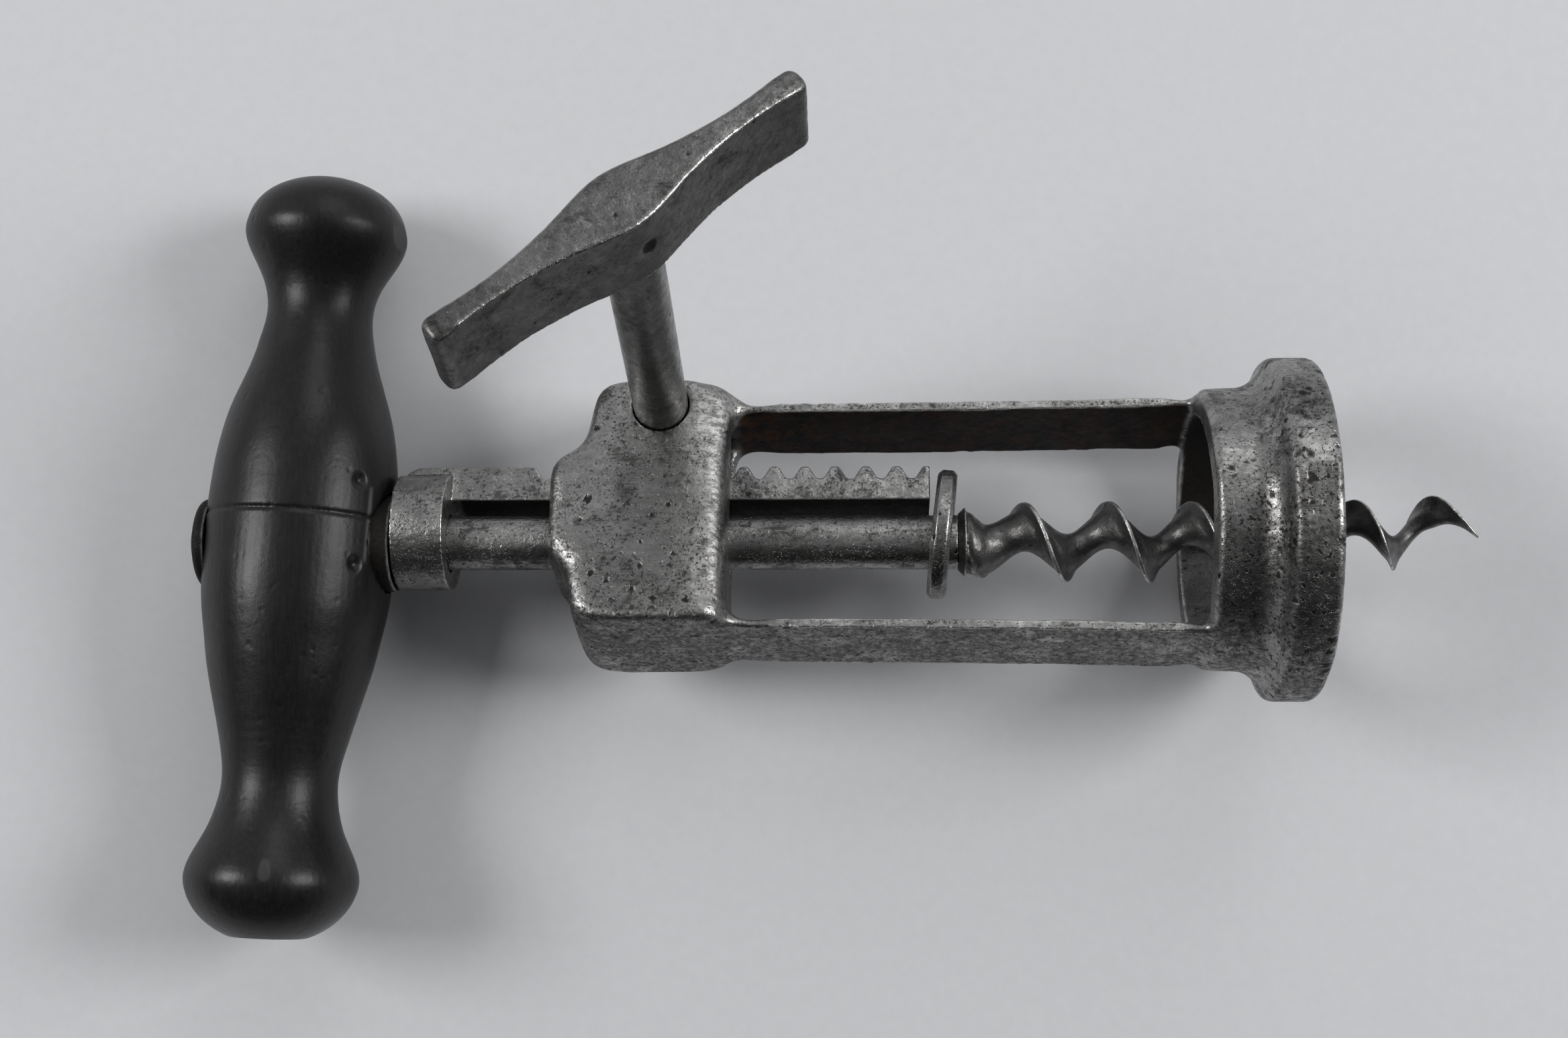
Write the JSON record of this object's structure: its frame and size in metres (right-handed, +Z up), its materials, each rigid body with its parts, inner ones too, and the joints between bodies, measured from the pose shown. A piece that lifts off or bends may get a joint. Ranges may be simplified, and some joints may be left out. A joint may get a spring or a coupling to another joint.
{
  "type": "rack corkscrew",
  "caption": "Rack corkscrew with an open steel frame, bell mouth, free-turning worm on a toothed rack, side key on a pinion and a turned dark wooden cross handle.",
  "frame": {"origin": "bottom centre of the bounding box of the tool lying on a table", "axes": "+X along the table towards the point of the worm, +Y across to the side of the pinion, +Z up"},
  "size_m": [0.161, 0.0986, 0.0678],
  "materials": {
    "forged_steel": "old worn steel, pitted and stained, bright on the edges",
    "dark_steel": "darkened polished steel with worn edges",
    "black_wood": "satin black turned wood"
  },
  "bodies": {
    "frame": {"frame": "forged_steel"},
    "rack": {"rack": "forged_steel"},
    "screw": {"spindle": "forged_steel", "worm": "dark_steel", "handle": "black_wood", "tang_rove": "forged_steel"},
    "washer": {"stop_washer": "forged_steel"},
    "key": {"pinion": "dark_steel", "pinion_pin": "dark_steel", "key_shaft": "dark_steel", "key_bar": "dark_steel"}
  },
  "joints": [
    {"name": "rack_slide", "type": "slide", "parent": "frame", "child": "rack", "axis": [-0.9969, 0, -0.0784], "range_m": [-0.012, 0.0245]},
    {"name": "worm_turn", "type": "hinge", "parent": "rack", "child": "screw", "pos_m": [-0.0542, 0.00043, 0.0136], "axis": [-0.9969, 0, -0.0784], "continuous": true},
    {"name": "washer_turn", "type": "hinge", "parent": "rack", "child": "washer", "pos_m": [0.01449, 0.00043, 0.01901], "axis": [-0.9872, 0.1078, -0.1176], "continuous": true},
    {"name": "key_turn", "type": "hinge", "parent": "frame", "child": "key", "pos_m": [-0.0203, 0.01432, 0.01112], "axis": [0.0736, -0.3465, -0.9351], "range_deg": [-113, 229]}
  ],
  "couplings": [
    {"joint": "key_turn", "follows": "rack_slide", "rad_per_m": 161.94}
  ]
}
